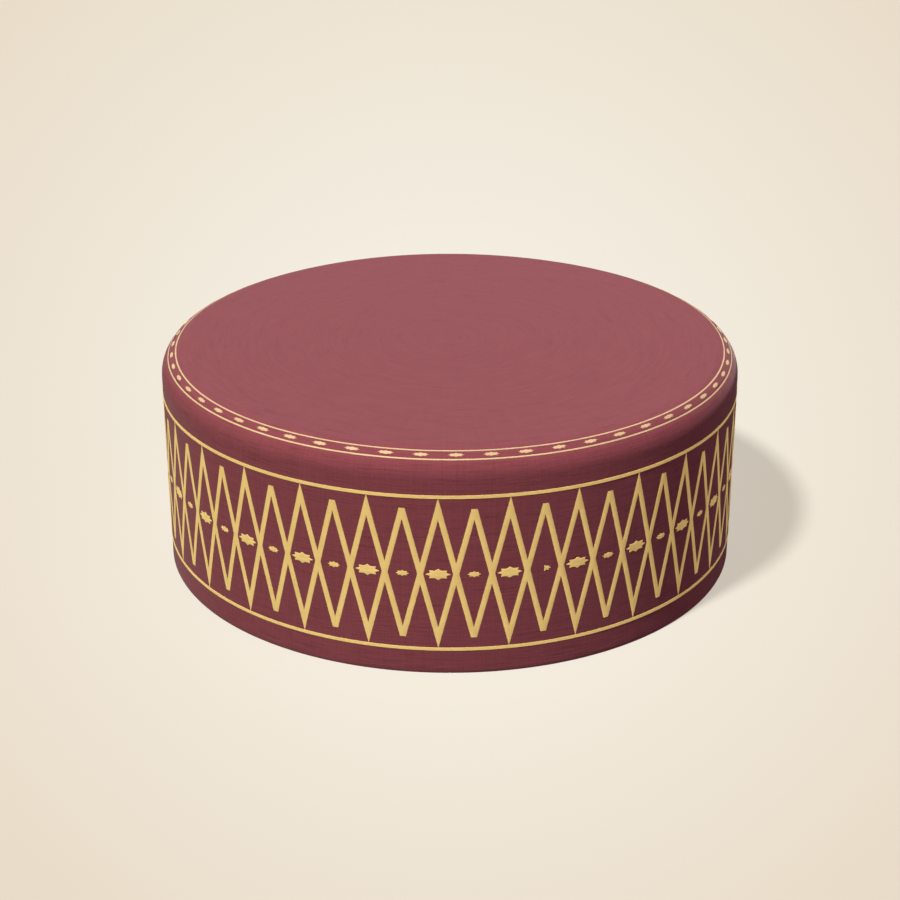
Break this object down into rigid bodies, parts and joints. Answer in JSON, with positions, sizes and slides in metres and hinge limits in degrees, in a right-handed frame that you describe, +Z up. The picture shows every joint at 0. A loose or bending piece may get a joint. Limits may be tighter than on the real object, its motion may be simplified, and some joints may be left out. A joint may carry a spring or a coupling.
{
  "type": "embroidered velvet cap",
  "caption": "Round brimless velvet cap with a flat top, rounded shoulder and upright side band, embroidered in gold thread with a diamond lattice and stars; worn on the head.",
  "frame": {"origin": "middle of the rim, on the surface that the cap stands on", "axes": "+Z up through the flat top, -Y towards the front of the cap as the picture shows it, +X to the viewer's right"},
  "size_m": [0.1914, 0.1914, 0.0721],
  "materials": {
    "velvet": "short cut pile, soft sheen",
    "gold_thread": "satin stitch in metallic gold thread"
  },
  "bodies": {
    "root": {"crown_top": "velvet", "side_band": "velvet", "top_border_inner_line": "gold_thread", "top_border_outer_line": "gold_thread", "side_upper_line": "gold_thread", "side_lower_line": "gold_thread", "side_lattice": "gold_thread", "side_star_01": "gold_thread", "side_star_02": "gold_thread", "side_star_03": "gold_thread", "side_star_04": "gold_thread", "side_star_05": "gold_thread", "side_star_06": "gold_thread", "side_star_07": "gold_thread", "side_star_08": "gold_thread", "side_star_09": "gold_thread", "side_star_10": "gold_thread", "side_star_11": "gold_thread", "side_star_12": "gold_thread", "side_star_13": "gold_thread", "side_star_14": "gold_thread", "side_star_15": "gold_thread", "side_star_16": "gold_thread", "side_star_17": "gold_thread", "side_star_18": "gold_thread", "side_star_19": "gold_thread", "side_star_20": "gold_thread", "side_star_21": "gold_thread", "side_star_22": "gold_thread", "side_star_23": "gold_thread", "side_star_24": "gold_thread", "side_star_25": "gold_thread", "side_star_26": "gold_thread", "side_star_27": "gold_thread", "side_star_28": "gold_thread"}
  },
  "joints": []
}
